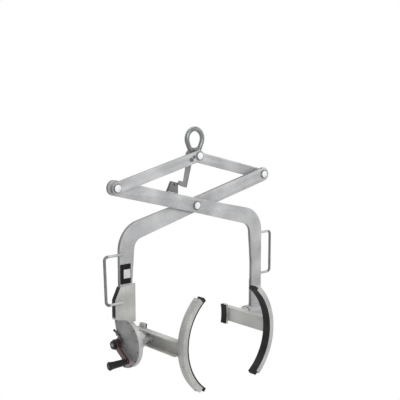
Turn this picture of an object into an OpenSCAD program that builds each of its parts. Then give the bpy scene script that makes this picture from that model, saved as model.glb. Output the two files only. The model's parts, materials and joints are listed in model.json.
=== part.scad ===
// Drum lifter: self-closing scissor tongs that hang from a hook, grip a steel drum between two
// rubber lined cradles and turn it end over end with a geared hand crank.
// Millimetres, +Z up. The origin is the hook seat, the highest point inside the lifting eye.
// X runs across the tongs along the trunnions, Y runs along the axis of the gripped drum.

/* [Scissor linkage] */
// Centre distance of the links and of the upper arm halves
link_len = 554; // [480:2:620]
// Height of the top pin above the side pins with the tongs closed on a drum
half_rise = 135; // [110:1:160]
// Width of a link
link_w = 60; // [50:1:72]
// Thickness of a link
link_t = 12; // [10:1:16]
// Diameter of the pivot pins
pin_d = 38; // [30:1:42]
// Length of pin that shows past a plate, retaining ring included
pin_proud = 7; // [6:0.5:10]
// Radial clearance of a turning fit
run_gap = 0.06; // [0.03:0.01:0.1]

/* [Lifting eye] */
// Height of the hook seat above the top pin
eye_height = 130; // [115:1:150]
// Diameter of the round bar of the eye
eye_bar_d = 26; // [20:1:30]
// Width of the eye between the centres of its bar
eye_pitch_w = 107; // [95:1:120]
// Outer diameter of the hub that turns on the top pin
eye_hub_d = 64; // [58:1:70]

/* [Arms] */
// Thickness of an arm plate
arm_t = 18; // [14:1:22]
// Width of an arm at its upper half
arm_w = 78; // [70:1:88]
// Width of an arm at its bend
leg_w = 92; // [84:1:104]
// How much narrower a leg is at its foot
leg_taper = 14; // [6:1:20]
// Inner radius of the bend
bend_r = 60; // [50:1:72]
// Distance of the inner edge of a leg from the middle of the tongs, below the bend
leg_in_x = 408; // [400:1:430]
// Gap between the two arms at the centre pin
arm_gap = 2; // [1:0.5:4]
// Drop from the hook seat to the trunnion axis
trunnion_drop = 1076; // [1040:2:1120]

/* [Latch] */
// Thickness of the latch that holds the tongs open
latch_t = 8; // [6:1:10]
// Side gap on each face of the latch
latch_gap = 1.5; // [1:0.25:3]
// Diameter of the latch bolt
latch_bolt_d = 14; // [10:1:16]

/* [Handles] */
// Diameter of the handle rod
handle_d = 15; // [12:1:18]
// Reach of a handle past the edge of its leg
handle_reach = 98; // [85:1:110]
// Height of the handle between its rod centres
handle_h = 245; // [200:5:265]
// Height of the upper rod of a handle above the trunnion
handle_top = 468; // [445:1:480]

/* [Cradles] */
// Inner radius of the rubber pads, for a standard steel drum
drum_r = 290; // [280:1:295]
// Thickness of the rubber pads
pad_t = 8; // [5:1:12]
// Radial thickness of the rolled arc bar
arc_t = 28; // [22:1:34]
// Width of the arc bar along the drum
arc_w = 45; // [36:1:56]
// Half angle of an arc
arc_half = 49; // [40:1:54]
// Distance of the arc bar's middle from the trunnion axis
arc_offset = 268; // [240:1:290]
// Half angle of the short saddle
saddle_half = 11; // [9:0.5:14]
// Distance of the saddle's middle from the trunnion axis
saddle_offset = 78; // [66:1:90]
// Width of the saddle along the drum
saddle_w = 40; // [30:1:50]
// Height of the channel beam
beam_h = 80; // [70:1:90]
// Depth of the channel beam
beam_d = 42; // [34:1:48]
// Wall of the channel beam
beam_wall = 7; // [5:0.5:9]
// Gap between the drum and the back of the beam
beam_back_gap = 15; // [13:1:22]

/* [Trunnions] */
// Diameter of the trunnion shafts
shaft_d = 50; // [40:1:56]
// Wall of the trunnion bushes
bush_wall = 5; // [4:0.5:7]
// Outer diameter of the far bearing tube and of the case boss
bearing_d = 90; // [84:1:100]

/* [Gear case] */
// Distance of the outer face of the case cover from the middle of the tongs
case_face_x = 455; // [448:1:470]
// Radius of the round side of the case
case_r = 130; // [125:1:140]
// Distance from the trunnion to the middle of the round side
case_shift = 40; // [36:1:46]
// Thickness of the cover
cover_t = 5; // [4:0.5:7]
// Depth of the case behind the cover, floor included
case_depth = 23; // [23:1:40]
// Wall and floor of the case
case_wall = 8; // [6:0.5:10]
// Direction of the crank seen from the trunnion, below the horizontal
crank_angle = 17; // [10:1:28]
// Gear module
gear_m = 2.5; // [2.5:0.25:2.75]
// Teeth of the drive gear on the trunnion
gear_teeth = 52; // [52:4:56]
// Teeth of the pinion on the crank shaft
pinion_teeth = 16; // [16:4:16]
// Play between the teeth
backlash = 0.3; // [0.2:0.05:0.5]
// Width of the drive gear
gear_w = 10; // [8:0.5:11]

/* [Crank] */
// Radius of the crank
crank_len = 121; // [105:1:140]
// Direction of the crank arm below the horizontal, towards the front
crank_rest = 33; // [10:1:60]
// Width of the crank arm
crank_arm_w = 30; // [26:1:34]
// Thickness of the crank arm
crank_arm_t = 12; // [8:1:14]
// Diameter of the crank shaft
crank_shaft_d = 22; // [18:1:24]
// Diameter of the crank hub
crank_hub_d = 44; // [38:1:48]
// Length of the hand grip
grip_len = 105; // [95:1:130]
// Diameter of the hand grip at its waist
grip_d = 33; // [28:1:38]
// Diameter of the flared end of the hand grip
grip_flare_d = 46; // [40:1:52]
// Diameter of the pin that carries the grip
grip_pin_d = 12; // [10:1:16]

/* [Lock pawl] */
// Teeth of the ratchet wheel
ratchet_teeth = 16; // [16:8:16]
// Tip radius of the ratchet wheel
ratchet_r = 27; // [25:0.5:28]
// Tooth depth of the ratchet wheel
ratchet_depth = 5; // [4:0.5:6]
// Thickness of the ratchet wheel and of the pawl
ratchet_t = 7; // [6:1:9]
// Distance from the crank axis to the pawl pivot
pawl_dist = 48; // [46:0.5:52]
// Diameter of the pawl pin
pawl_pin_d = 10; // [8:1:11]
// Diameter of the ball knob
knob_d = 14; // [12:0.5:14]

/* [Hidden] */
$fn = 48;

// Colours of the finishes
steel_grey = [0.70, 0.71, 0.72];
dark_grey = [0.46, 0.47, 0.48];
bright = [0.86, 0.86, 0.87];
black = [0.06, 0.06, 0.07];
rubber = [0.05, 0.05, 0.05];
bronze = [0.66, 0.50, 0.28];
brown = [0.22, 0.12, 0.11];

// Small shared values
fix_gap = 0.02;
touch_gap = 0.3;
eps = 1;
end_play = 0.5;
rise_angle = asin(half_rise / link_len);
half_span = link_len * cos(rise_angle);
z_top = -eye_height;
z_side = z_top - half_rise;
z_mid = z_top - 2 * half_rise;
z_axis = -trunnion_drop;

// Layers along Y, front to back: left link, latch, right arm, left arm, spacer, right link
arm_y0 = arm_gap / 2;
arm_y1 = arm_y0 + arm_t;
link_y0 = arm_y1 + latch_t + 2 * latch_gap;
link_y1 = link_y0 + link_t;
latch_y0 = arm_y1 + latch_gap;
bore_d = pin_d + 2 * run_gap;
fix_bore_d = pin_d + 2 * fix_gap;
ring_t = 3;
ring_side = 0.1;
ring_rim = 5;
ring_d = pin_d + 2 * ring_rim;
ring_inset = 2;
ring_slot = 10;
groove_depth = 2;
groove_d = pin_d - 2 * groove_depth;
spacer_rim = 11;
spacer_d = pin_d + 2 * spacer_rim;

// Lifting eye
eye_r = eye_pitch_w / 2;
eye_ring_z = eye_bar_d / 2 - eye_r;
eye_splay = 25;
eye_leg_z = eye_ring_z - eye_r * sin(eye_splay);
eye_leg_len = (eye_leg_z - z_top) / cos(eye_splay) - eye_bar_d / 2;
eye_web_t = 18;
eye_web_h = 46;
eye_web_dip = 38;
eye_web_x = eye_pitch_w / 4;
eye_web_in = 4;
eye_web_low_x = eye_hub_d / 2 - eye_web_in;
eye_spacer_rim = 5;
eye_spacer_d = pin_d + 2 * eye_spacer_rim;

// Arm outline, measured along the line through the pins (s) and square to it (t)
leg_out_x = leg_in_x + leg_w;
bend_out_r = bend_r + leg_w;
bend_drop = 5;
bend_low = -arm_w / 2 - bend_drop;
bend_ct = bend_low - bend_r;
bend_s = (leg_in_x - bend_r - bend_ct * sin(rise_angle)) / cos(rise_angle);
bend_x = leg_in_x - bend_r;
bend_z = z_mid - bend_s * sin(rise_angle) + bend_ct * cos(rise_angle);
// The straight parts run a little way into the bend
seam_in = 0.05;
seam_lap = 3;

// Latch, placed from the top pin along and square to the left link
latch_s = 60;
latch_below = 4;
latch_x = -latch_s * cos(rise_angle) + latch_below * sin(rise_angle);
latch_z = z_top - latch_s * sin(rise_angle) - latch_below * cos(rise_angle);
latch_lean = 14;
latch_boss_r = 18;
latch_end_half_w = 14;
latch_toe_in = 121;
latch_reach = 149;
latch_toe_out = 46;
latch_heel_x = 24;
latch_bolt_head_d = 22;
latch_bolt_head_t = 6;
latch_collar_rim = 4;
latch_collar_gap = latch_gap / 4;
latch_collar_t = latch_gap / 2;
stop_s = 38.5;
stop_up = 6;
stop_d = 10;
stop_head_d = 16;
stop_head_t = 3;
// The stop seen from the latch bolt, in the frame of the latch
stop_turn = rise_angle + latch_lean;
stop_rel_y = (latch_s - stop_s) * sin(stop_turn) + (stop_up + latch_below) * cos(stop_turn);
latch_heel_top = stop_rel_y - stop_d / 2 - touch_gap;
// Catch pin, along and square to the right arm from the centre pin
catch_s = 181;
catch_up = 87;
catch_pin_d = 12;
catch_base_half_w = 36;
catch_top_half_w = 22;
catch_over = 10;

// Foot plate of the left leg, folded back along its outer edge
foot_t = 12;
foot_top = 310;
foot_top_drop = 8;
foot_in_over = 10;
foot_out_over = 38;
foot_shoulder = 238;
foot_low = 148;
cover_clear = 2;
flange_t = 6;
leg_foot_x = leg_in_x + leg_taper;
foot_in_x = leg_foot_x - foot_in_over;
foot_out_top_x = leg_out_x + flange_t + fix_gap;
foot_out_x = leg_out_x + foot_out_over;
// Stiffening plate behind the right leg
stiff_top = 200;
stiff_in = 8;

// The left handle leans forwards, from the front of the leg to the front of the foot plate
handle_rod_d = handle_d - touch_gap;
handle_y = arm_y0 - handle_rod_d / 2 - fix_gap;
handle_tilt = asin(foot_t / handle_h);
handle_bend = 20;
handle_x = leg_out_x + handle_reach;
handle_lap = 14;
handle_low_lap = 40;
handle_low = handle_top - handle_h * cos(handle_tilt);
foot_slope = (foot_out_x - foot_out_top_x) / (foot_top - foot_top_drop - foot_shoulder);
foot_edge_x = foot_out_top_x + foot_slope * (foot_top - foot_top_drop - handle_low);
handle_end_x = min(foot_out_x, foot_edge_x) - handle_low_lap;

// Gear case and crank, measured from the trunnion axis
gear_a = gear_m * (gear_teeth + pinion_teeth) / 2;
crank_y = gear_a * cos(crank_angle);
crank_z = z_axis - gear_a * sin(crank_angle);
chord_over = 1;
chord = gear_a + chord_over;
cover_x = case_face_x - cover_t;
case_back_x = cover_x - case_depth;
floor_t = 4;
floor_x = case_back_x + floor_t;
boss_len = 52;
boss_end_x = case_back_x - boss_len;
cover_boss_t = 5;
gear_floor_gap = 2;
gear_x = floor_x + gear_floor_gap;
pinion_over = 1;
pinion_w = gear_w + 2 * pinion_over;
pinion_x = gear_x - pinion_over;
gear_hole_count = 5;
gear_hole_r = 46;
gear_hole_d = 22;
key_w = 14;
key_h = 9;
key_sunk = 5.4;
journal_step = 9;
journal_d = shaft_d - 2 * journal_step;
journal_bush_wall = 4;
journal_bush_d = journal_d + 2 * journal_bush_wall;
cover_boss_wall = 8;
cover_boss_d = journal_bush_d + 2 * cover_boss_wall;
pinion_tip = gear_m * (pinion_teeth + 2) / 2;
pinion_room = 1.5;
crank_bulge_r = pinion_tip + pinion_room + case_wall;
crank_boss_d = 46;
crank_boss_t = 3;
crank_bush_wall = 4;
crank_bush_d = crank_shaft_d + 2 * crank_bush_wall;
crank_bush_out = 6;
crank_tail = 8;
screw_d = 4;
screw_head_d = 8;
screw_head_t = 4;
screw_ring_in = 0.5;
screw_ring_r = case_r - case_wall / 2 - screw_ring_in;
screw_count = 9;
screw_from = 75;
screw_len = 16;

// Crank stack, going outwards from the cover
boss_face_x = case_face_x + crank_boss_t;
ratchet_gap = 1;
ratchet_x = boss_face_x + ratchet_gap;
hub_x = ratchet_x + ratchet_t;
hub_in_len = 5;
hub_out_len = 14;
arm_x = hub_x + hub_in_len;
hub_end_x = arm_x + crank_arm_t + hub_out_len;
shaft_proud = 1.5;
shaft_end_x = hub_end_x + shaft_proud;
crank_eye_wall = 6;
grip_y = crank_y - crank_len * cos(crank_rest);
grip_z = crank_z - crank_len * sin(crank_rest);
grip_gap = 2;
grip_x = arm_x + crank_arm_t + grip_gap;
grip_end_x = grip_x + grip_len;
grip_head_t = 3;
grip_head_d = grip_pin_d + 8;
grip_end_d = grip_pin_d + 6;
grip_swell = 1.5;
grip_round = 4;
grip_neck = 3;

// Pawl, turning on a pin above the crank
pawl_dir = 118;
pawl_y = crank_y + pawl_dist * cos(pawl_dir);
pawl_z = crank_z + pawl_dist * sin(pawl_dir);
pawl_boss_r = 10;
pawl_nose_len = 40;
pawl_nose_w = 7;
pawl_lift = 46;
pawl_lever_len = 56;
pawl_lever_w = 9;
pawl_lever_dir = 26;
pawl_stop_d = 8;
ratchet_phase = 19;
pawl_head_d = 16;
pawl_head_t = 3.5;
pawl_stop_at = 30;
knob_cover = 3;
pawl_lever_end = pawl_lever_len - knob_d / 2 + knob_cover;

// Cradles
arc_r = drum_r + pad_t;
arc_out_r = arc_r + arc_t;
arc_y = -arc_offset - arc_w / 2;
beam_x0 = drum_r + beam_back_gap;
saddle_y = saddle_offset - saddle_w / 2;
beam_y0 = -arc_offset + arc_w / 2;
beam_over = 8;
beam_y1 = saddle_y + saddle_w + beam_over;
saddle_t = beam_x0 - arc_r;
lip_half = 2;
lip_seam = 0.02;
lip_h = 12.5;
pad_screw_d = 8;
pad_screw_head_d = 14;
pad_screw_head_t = 5;
pad_screw_angles = [-46, -18, 18, 46];

// Far bearing
tube_in = 14;
tube_x0 = leg_in_x - tube_in;
tube_x1 = leg_out_x;
bush_len = 40;
collar_t = 8;
collar_rim = 11;
collar_d = shaft_d + 2 * collar_rim;
end_plate_d = collar_d;
end_plate_t = 8;
end_bolt_d = 16;
end_bolt_len = 28;
end_bolt_head_d = 29;
end_bolt_head_t = 10;
end_bolt_tip = 2;

// A plate drawn in X and Z, from y0 towards +Y
module y_plate(y0, t) {
    translate([0, y0 + t, 0]) rotate([90, 0, 0]) linear_extrude(t) children();
}

// A plate drawn in Y and Z, from x0 towards +X
module x_plate(x0, t) {
    translate([x0, 0, 0]) rotate([90, 0, 90]) linear_extrude(t) children();
}

// A round bar along Y through the point (x, z)
module y_bar(x, z, d, y0, y1) {
    translate([x, y1, z]) rotate([90, 0, 0]) cylinder(d = d, h = y1 - y0);
}

// A round bar along X through the point (y, z)
module x_bar(y, z, d, x0, x1) {
    translate([x0, y, z]) rotate([0, 90, 0]) cylinder(d = d, h = x1 - x0);
}

// The far side of the tongs is the near side turned half round
module far_side() {
    rotate([0, 0, 180]) children();
}

// Pivot pin with a groove for a retaining ring at each end
module pivot_pin(x, z, y0, y1) {
    difference() {
        y_bar(x, z, pin_d, y0, y1);
        for (y = [y0 + ring_inset, y1 - ring_inset - ring_t])
            difference() {
                y_bar(x, z, pin_d + eps, y, y + ring_t);
                y_bar(x, z, groove_d, y - eps, y + ring_t + eps);
            }
    }
}

// Retaining ring that snaps into a groove
module pin_ring(x, z, y) {
    difference() {
        y_bar(x, z, ring_d, y + ring_side, y + ring_t - ring_side);
        y_bar(x, z, groove_d + 2 * fix_gap, y - eps, y + ring_t + eps);
        translate([x, y - eps, z - ring_slot / 2]) cube([ring_d, ring_t + 2 * eps, ring_slot]);
    }
}

// Link drawn from the top pin at the origin towards -X
module link_outline() {
    difference() {
        union() {
            translate([-link_len, -link_w / 2]) square([link_len, link_w]);
            circle(d = link_w);
            translate([-link_len, 0]) circle(d = link_w);
        }
        circle(d = bore_d);
        translate([-link_len, 0]) circle(d = bore_d);
    }
}

// One bent arm, as the right arm: side pin at -X, leg at +X
module arm_outline(mid_bore) {
    difference() {
        union() {
            translate([0, z_mid]) rotate(-rise_angle) {
                translate([-link_len, 0]) circle(d = arm_w);
                polygon([[-link_len, -arm_w / 2], [0, -arm_w / 2], [bend_s, bend_low + seam_in],
                    [bend_s + seam_lap, bend_low + seam_in],
                    [bend_s + seam_lap, bend_low + leg_w - seam_in],
                    [bend_s, bend_low + leg_w - seam_in], [0, arm_w / 2], [-link_len, arm_w / 2]]);
            }
            intersection() {
                translate([bend_x, bend_z]) difference() {
                    circle(r = bend_out_r);
                    circle(r = bend_r);
                }
                translate([bend_x, bend_z]) polygon([[0, 0],
                    [2 * bend_out_r, 0],
                    [2 * bend_out_r, 2 * bend_out_r],
                    2 * bend_out_r * [sin(rise_angle), cos(rise_angle)]]);
            }
            polygon([[leg_in_x + seam_in, bend_z + seam_lap], [leg_in_x + seam_in, bend_z],
                [leg_foot_x, z_axis + foot_top], [leg_foot_x, z_axis],
                [leg_out_x - seam_in, z_axis], [leg_out_x - seam_in, bend_z + seam_lap]]);
        }
        translate([-half_span, z_side]) circle(d = fix_bore_d);
        translate([0, z_mid]) circle(d = mid_bore);
    }
}

// Foot plate of the left leg, down to the trunnion axis
module foot_outline() {
    polygon([[-foot_in_x, z_axis], [-foot_in_x, z_axis + foot_top],
        [-foot_out_top_x, z_axis + foot_top - foot_top_drop],
        [-foot_out_x, z_axis + foot_shoulder], [-foot_out_x, z_axis]]);
}

// Flange along the outer edge of the foot plate
module flange_outline() {
    polygon([[-foot_out_top_x + seam_in, z_axis + foot_top - foot_top_drop],
        [-foot_out_x + seam_in, z_axis + foot_shoulder], [-foot_out_x + seam_in, z_axis],
        [-foot_out_x + flange_t, z_axis], [-foot_out_x + flange_t, z_axis + foot_shoulder],
        [-foot_out_top_x + flange_t, z_axis + foot_top - foot_top_drop]]);
}

// A quarter bend of the handle about the point (x, z), from an angle on
module handle_corner(z, from) {
    translate([-handle_x + handle_bend, 0, z]) rotate([90, 0, 0]) rotate([0, 0, from])
        rotate_extrude(angle = 90) translate([handle_bend, 0]) circle(d = handle_d);
}

// Bent rod handle drawn for the left leg, from its tilt and the end of its lower rod
module handle_shape(tilt, low_end_x) {
    rod_x = -handle_x + handle_bend - eps;
    translate([0, handle_y, z_axis + handle_top]) rotate([-tilt, 0, 0]) {
        x_bar(0, 0, handle_rod_d, rod_x, -leg_out_x + handle_lap);
        x_bar(0, -handle_h, handle_rod_d, rod_x, -low_end_x);
        translate([-handle_x, 0, -handle_h + handle_bend - eps])
            cylinder(d = handle_rod_d, h = handle_h - 2 * handle_bend + 2 * eps);
        handle_corner(-handle_bend, 90);
        handle_corner(-handle_h + handle_bend, 180);
    }
}

// Outline of the gear case around the trunnion, drawn in by an inset
module case_outline(inset) {
    translate([0, z_axis]) rotate(-crank_angle) {
        intersection() {
            translate([case_shift, 0]) circle(r = case_r - inset);
            translate([-2 * case_r, -2 * case_r]) square([2 * case_r + chord - inset, 4 * case_r]);
        }
        translate([gear_a, 0]) circle(r = crank_bulge_r - inset);
    }
}

// Room taken by the round side of the case, for what is welded on top of it
module case_room() {
    x_plate(-2 * case_face_x, 2 * case_face_x) translate([0, z_axis]) rotate(-crank_angle)
        translate([case_shift, 0]) circle(r = case_r);
}

// Room in front of the cover, where the leg and its foot plate end higher up
module cover_room() {
    translate([-2 * leg_out_x, -arm_w, z_axis])
        cube([2 * leg_out_x - case_face_x - cover_clear, 2 * arm_w, foot_low]);
}

// Involute tooth flank: half the tooth angle at radius r
function involute(a) = tan(a) * 180 / PI - a;
function tooth_half(m, z, r) = 90 / z - backlash / (m * z) * 90 / PI + involute(20)
    - involute(acos(min(1, m * z * cos(20) / 2 / r)));

// One tooth as [radius, angle] pairs, from the root over the tip and back
function tooth(m, z) = let (
        root = m * z / 2 - 1.25 * m,
        base = max(root + 0.1, m * z * cos(20) / 2),
        tip = m * z / 2 + m,
        radii = concat([root], [for (i = [0 : 3]) base + (tip - base) * i / 3]),
        last = len(radii) - 1)
    concat([for (r = radii) [r, -tooth_half(m, z, r)]],
        [for (i = [last : -1 : 0]) [radii[i], tooth_half(m, z, radii[i])]]);

// A point from its radius and angle
function polar(r, a) = [r * cos(a), r * sin(a)];

// Spur gear outline, with its first tooth on the +X axis of the drawing
module gear_outline(m, z) {
    polygon([for (k = [0 : z - 1]) for (p = tooth(m, z)) polar(p[0], p[1] + k * 360 / z)]);
}

// Ratchet outline with wide gaps for the pawl
module ratchet_outline() {
    step = 360 / ratchet_teeth;
    root = ratchet_r - ratchet_depth;
    polygon([for (k = [0 : ratchet_teeth - 1]) for (p = [[ratchet_r, 0], [ratchet_r, 0.25],
        [root, 0.36], [root, 0.96]]) polar(p[0], (k + p[1]) * step)]);
}

// A rolled bar about the drum axis at +X, from radius r0 outwards
module rolled(r0, t, half, y, w, middle = 0) {
    translate([0, y + w, z_axis]) rotate([90, 0, 0]) rotate([0, 0, middle - half])
        rotate_extrude(angle = 2 * half, $fn = 180) translate([r0, 0]) square([t, w]);
}

// Places things at the trunnion, with the drawing's +X axis towards the crank
module towards_crank() {
    translate([0, z_axis]) rotate(-crank_angle) children();
}

// Places of the cover screws along the round side
module at_screws() {
    towards_crank() translate([case_shift, 0])
        for (i = [0 : screw_count - 1]) rotate(screw_from + i * (360 - 2 * screw_from) / (screw_count - 1))
            translate([screw_ring_r, 0]) children();
}

// The near side is drawn at +X and mirrored to the left leg
module near_mirror() {
    mirror([1, 0, 0]) children();
}

// Pear shaped eye: round bar ring, two legs and a hub on the top pin
module lifting_eye() color(steel_grey) {
    difference() {
        union() {
            translate([0, 0, eye_ring_z]) rotate([90, 0, 0]) rotate([0, 0, -eye_splay])
                rotate_extrude(angle = 180 + 2 * eye_splay) translate([eye_r, 0]) circle(d = eye_bar_d);
            for (side = [-1, 1])
                translate([side * eye_r * cos(eye_splay), 0, eye_leg_z]) rotate([0, side * eye_splay, 0])
                    translate([0, 0, -eye_leg_len])
                        cylinder(d = eye_bar_d - touch_gap, h = eye_leg_len + eps);
            y_plate(-eye_web_t / 2, eye_web_t) translate([0, z_top]) polygon([[-eye_web_low_x, 0],
                [-eye_web_x, eye_web_h], [0, eye_web_dip], [eye_web_x, eye_web_h], [eye_web_low_x, 0]]);
            y_bar(0, z_top, eye_hub_d, -arm_y1, arm_y1);
        }
        y_bar(0, z_top, fix_bore_d, -arm_y1 - eps, arm_y1 + eps);
    }
}

module top_pin() color(bright)
    pivot_pin(0, z_top, -link_y1 - pin_proud, link_y1 + pin_proud);

module eye_spacers() color(steel_grey)
    for (y = [-link_y0 + touch_gap, arm_y1])
        difference() {
            y_bar(0, z_top, eye_spacer_d, y, y + link_y0 - arm_y1 - touch_gap);
            y_bar(0, z_top, fix_bore_d, y - eps, y + link_y0);
        }

module pin_rings_eye() color(dark_grey)
    for (y = [-link_y1 - pin_proud + ring_inset, link_y1 + pin_proud - ring_inset - ring_t])
        pin_ring(0, z_top, y);

// Puts a drawing at the latch bolt, in the frame of the latch
module at_latch() {
    translate([latch_x, latch_z]) rotate(-latch_lean) children();
}

// Puts a drawing at the latch stop on the left link
module at_stop() {
    translate([0, z_top]) rotate(rise_angle) translate([-stop_s, stop_up]) children();
}

module left_link() color(steel_grey)
    difference() {
        y_plate(-link_y1, link_t) translate([0, z_top]) rotate(rise_angle) link_outline();
        y_bar(latch_x, latch_z, latch_bolt_d + 2 * fix_gap, -link_y1 - eps, -link_y0 + eps);
        y_plate(-link_y1 - eps, link_t + 2 * eps) at_stop() circle(d = stop_d + 2 * fix_gap);
    }

module right_link() color(steel_grey)
    far_side() y_plate(-link_y1, link_t) translate([0, z_top]) rotate(rise_angle) link_outline();

// Bolt with its head on the front of the link and a thin collar behind the latch
module latch_bolt() color(dark_grey) {
    collar_y = -arm_y1 - latch_collar_gap;
    y_bar(latch_x, latch_z, latch_bolt_d, -link_y1 - eps, collar_y);
    y_bar(latch_x, latch_z, latch_bolt_d + 2 * latch_collar_rim, collar_y - latch_collar_t, collar_y);
    y_plate(-link_y1 - latch_bolt_head_t, latch_bolt_head_t) translate([latch_x, latch_z])
        circle(d = latch_bolt_head_d, $fn = 6);
}

// Riveted pin that the heel of the latch leans on
module latch_stop() color(black) {
    y_plate(-link_y1 - eps, eps + link_t + latch_gap + latch_t) at_stop() circle(d = stop_d);
    y_plate(-link_y1 - stop_head_t, stop_head_t) at_stop() circle(d = stop_head_d);
}

// Tapered bar with a heel under the stop and a hooked toe for the catch pin
module latch_hook() color(steel_grey)
    y_plate(-latch_y0 - latch_t, latch_t) at_latch() difference() {
        intersection() {
            union() {
                circle(r = latch_boss_r);
                polygon([[-latch_boss_r + touch_gap, 0], [-latch_end_half_w, -latch_toe_in],
                    [-latch_toe_out, -latch_toe_in],
                    [-latch_toe_out, -latch_reach], [latch_end_half_w, -latch_reach],
                    [latch_boss_r, -latch_boss_r], [latch_heel_x, -latch_boss_r / 2],
                    [latch_heel_x, latch_heel_top], [0, latch_heel_top]]);
            }
            circle(r = latch_reach);
        }
        circle(d = latch_bolt_d + 2 * run_gap);
    }

// Puts a drawing on the right arm, at the middle of the catch on the arm's top edge
module at_catch() {
    translate([0, z_mid]) rotate(-rise_angle) translate([-catch_s, arm_w / 2 + fix_gap]) children();
}

// Upright lug on the arm's top edge, with a pin for the latch
module catch_lug() color(dark_grey) {
    lug_h = catch_up - arm_w / 2 + catch_over;
    y_plate(-arm_y1, arm_t) at_catch() polygon([[-catch_base_half_w, 0], [-catch_top_half_w, lug_h],
        [catch_top_half_w, lug_h], [catch_base_half_w, 0]]);
    y_plate(-link_y0 + eps, link_y0 - arm_y1) at_catch()
        translate([0, catch_up - arm_w / 2]) circle(d = catch_pin_d);
}

module right_arm() color(steel_grey)
    difference() {
        y_plate(-arm_y1, arm_t) arm_outline(fix_bore_d);
        x_bar(0, z_axis, bearing_d, 0, 2 * leg_out_x);
    }

module left_arm() color(steel_grey)
    difference() {
        far_side() y_plate(-arm_y1, arm_t) arm_outline(bore_d);
        case_room();
        cover_room();
    }

module left_pivot_pin() color(bright)
    pivot_pin(-half_span, z_side, -link_y1 - pin_proud, pin_proud - arm_y0);

module right_pivot_pin() color(bright)
    far_side() pivot_pin(-half_span, z_side, -link_y1 - pin_proud, pin_proud - arm_y0);

module side_spacer() {
    difference() {
        y_bar(-half_span, z_side, spacer_d, -link_y0 + touch_gap, -arm_y1);
        y_bar(-half_span, z_side, fix_bore_d, -link_y0, -arm_y1 + eps);
    }
}

module left_pivot_spacer() color(steel_grey) side_spacer();

module right_pivot_spacer() color(steel_grey) far_side() side_spacer();

module centre_pin() color(bright)
    pivot_pin(0, z_mid, -arm_y1 - pin_proud, arm_y1 + pin_proud);

module centre_washer() color(bronze)
    difference() {
        y_bar(0, z_mid, spacer_d, -arm_y0, arm_y0 - touch_gap);
        y_bar(0, z_mid, fix_bore_d, -arm_gap, arm_gap);
    }

module side_rings() {
    pin_ring(-half_span, z_side, -link_y1 - pin_proud + ring_inset);
    pin_ring(-half_span, z_side, pin_proud - arm_y0 - ring_inset - ring_t);
}

module pin_rings_right_arm() color(dark_grey) {
    side_rings();
    for (y = [-arm_y1 - pin_proud + ring_inset, arm_y1 + pin_proud - ring_inset - ring_t])
        pin_ring(0, z_mid, y);
}

module pin_rings_left_arm() color(dark_grey) far_side() side_rings();

module left_handle() color(steel_grey) handle_shape(handle_tilt, handle_end_x);

module right_handle() color(steel_grey) far_side() handle_shape(0, leg_out_x - handle_lap);

// Plate in front of the leg, with a flange that runs back past it
module left_foot_plate() color(steel_grey)
    difference() {
        union() {
            y_plate(arm_y0 - foot_t, foot_t) foot_outline();
            y_plate(arm_y0 - eps, arm_t + eps) flange_outline();
        }
        case_room();
        cover_room();
    }

module right_foot_plate() color(steel_grey)
    difference() {
        far_side() y_plate(arm_y0 - foot_t, foot_t) translate([-leg_out_x + stiff_in, z_axis])
            square([leg_out_x - leg_foot_x - 2 * stiff_in, stiff_top]);
        x_bar(0, z_axis, bearing_d, 0, 2 * leg_out_x);
    }

// Bearing of the free turning far cradle
module far_bearing_tube() color(steel_grey)
    difference() {
        x_bar(0, z_axis, bearing_d, tube_x0, tube_x1);
        x_bar(0, z_axis, shaft_d + 2 * bush_wall + 2 * fix_gap, tube_x0 - eps, tube_x1 + eps);
    }

module shaft_bush(x0, len) {
    difference() {
        x_bar(0, z_axis, shaft_d + 2 * bush_wall, x0, x0 + len);
        x_bar(0, z_axis, shaft_d + 2 * run_gap, x0 - eps, x0 + len + eps);
    }
}

module far_bushes() color(bronze)
    for (x = [tube_x0, tube_x1 - bush_len]) shaft_bush(x, bush_len);

// Half-round case with a bulge for the pinion and a bearing boss on its back
module gear_case() color(dark_grey)
    near_mirror() difference() {
        union() {
            x_plate(case_back_x, case_depth) difference() {
                case_outline(0);
                case_outline(case_wall);
            }
            x_plate(case_back_x, floor_t) case_outline(0);
            x_bar(0, z_axis, bearing_d, boss_end_x, case_back_x);
        }
        x_bar(0, z_axis, shaft_d + 2 * bush_wall + 2 * fix_gap, boss_end_x - eps, floor_x + eps);
        x_bar(crank_y, crank_z, crank_bush_d + 2 * fix_gap, case_back_x - eps, floor_x + eps);
        x_plate(cover_x - screw_len, screw_len + eps) at_screws() circle(d = screw_d + 2 * fix_gap);
    }

// Cover with the outer bearings of both shafts and the pawl's boss
module gear_cover() color(dark_grey)
    near_mirror() difference() {
        union() {
            x_plate(cover_x, cover_t) case_outline(0);
            x_bar(0, z_axis, cover_boss_d, cover_x - cover_boss_t, cover_x);
            x_bar(crank_y, crank_z, crank_boss_d, case_face_x, boss_face_x);
            x_bar(pawl_y, pawl_z, 2 * pawl_boss_r, case_face_x, boss_face_x);
        }
        x_bar(0, z_axis, journal_bush_d + 2 * fix_gap, cover_x - cover_boss_t - eps, cover_x);
        x_bar(crank_y, crank_z, crank_bush_d + 2 * fix_gap, cover_x - eps, boss_face_x + eps);
        x_bar(pawl_y, pawl_z, pawl_pin_d + 2 * fix_gap, cover_x - eps, boss_face_x + eps);
        x_plate(cover_x - eps, cover_t + 2 * eps) at_screws() circle(d = screw_d + 2 * fix_gap);
        x_plate(cover_x - eps, cover_t + 2 * eps) at_pawl_stop(2 * fix_gap);
    }

module cover_screws() color(dark_grey)
    near_mirror() {
        x_plate(cover_x - screw_len + eps, cover_t + screw_len - eps / 2) at_screws() circle(d = screw_d);
        x_plate(case_face_x, screw_head_t) at_screws() circle(d = screw_head_d, $fn = 6);
    }

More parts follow.
